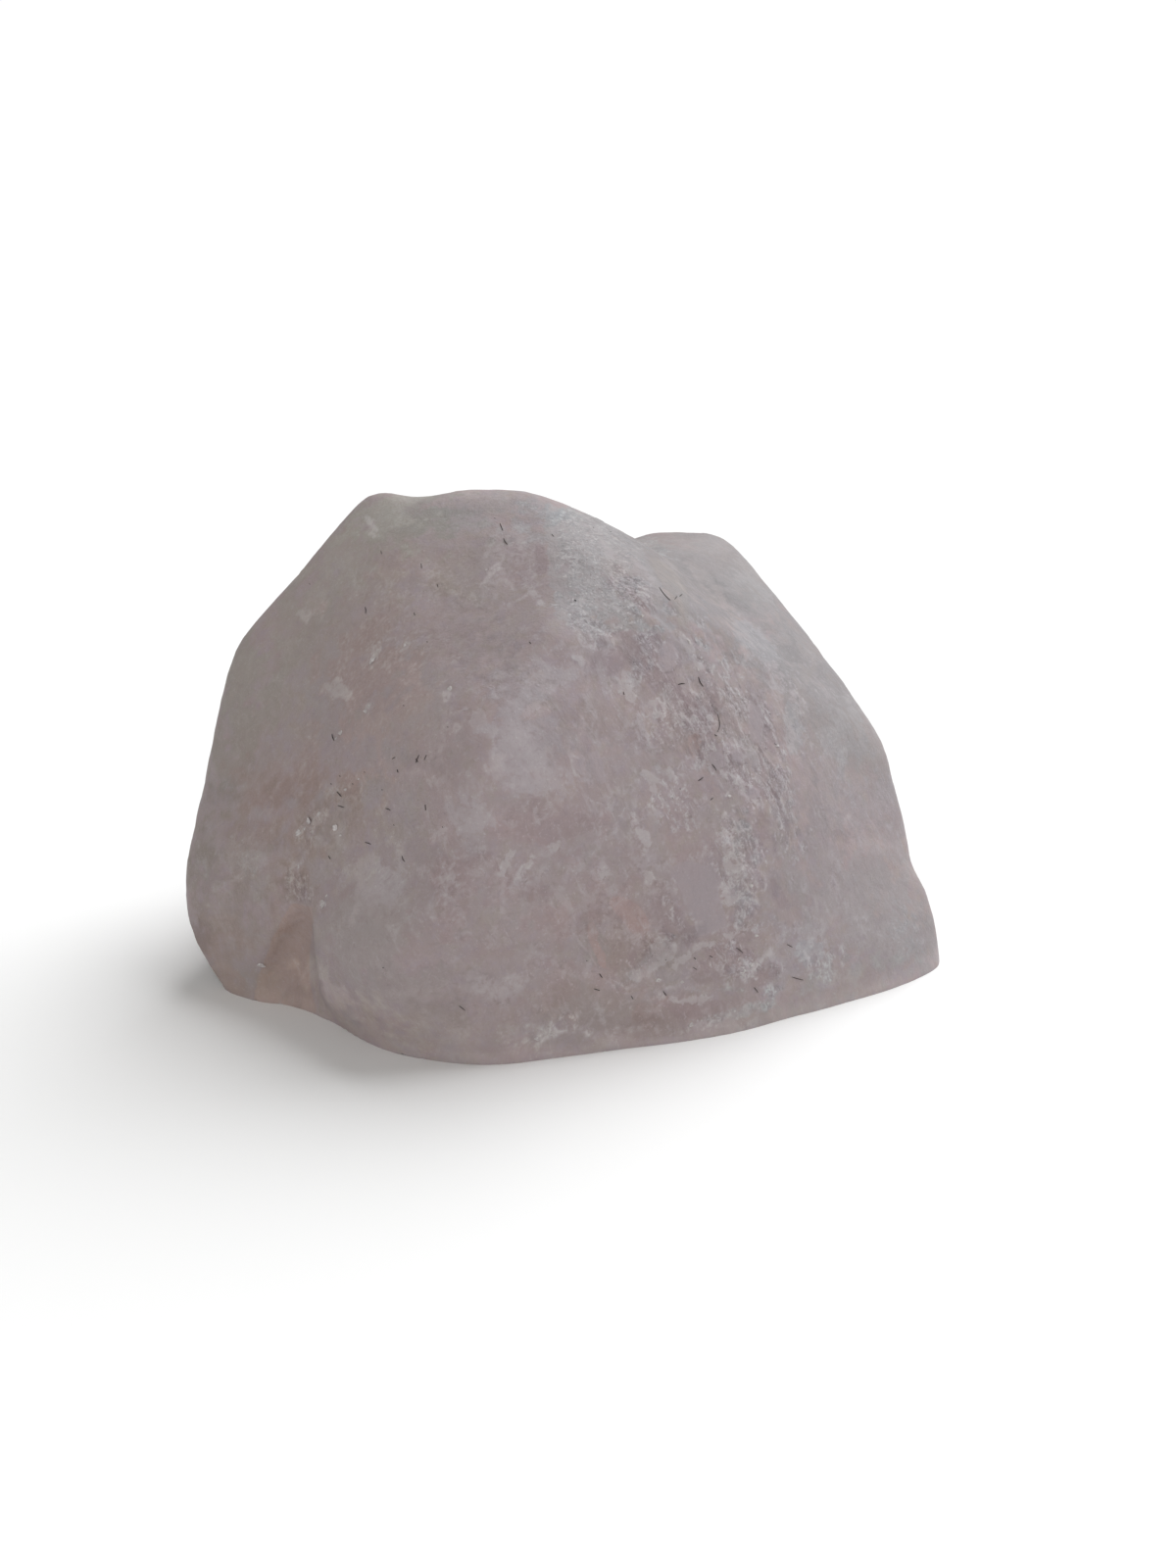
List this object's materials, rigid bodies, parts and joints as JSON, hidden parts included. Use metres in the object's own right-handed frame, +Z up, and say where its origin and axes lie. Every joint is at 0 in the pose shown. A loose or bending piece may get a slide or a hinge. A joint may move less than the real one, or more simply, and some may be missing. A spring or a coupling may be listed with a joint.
{
  "type": "rough amethyst stone",
  "caption": "Rough chunk of pale milky quartz with a blunt nose in front, a split beside its front foot, a peak behind, and a flat break underneath that it rests on.",
  "frame": {"origin": "middle of the box around the stone, at the height of the flat break that it rests on", "axes": "+Z up; +X along the stone's length, towards the low foot on the right of the picture; +Y away from the nose, towards the peak at the back"},
  "size_m": [0.0638, 0.0496, 0.039],
  "materials": {
    "milky_quartz": "satin"
  },
  "bodies": {
    "root": {"amethyst": "milky_quartz"}
  },
  "joints": []
}
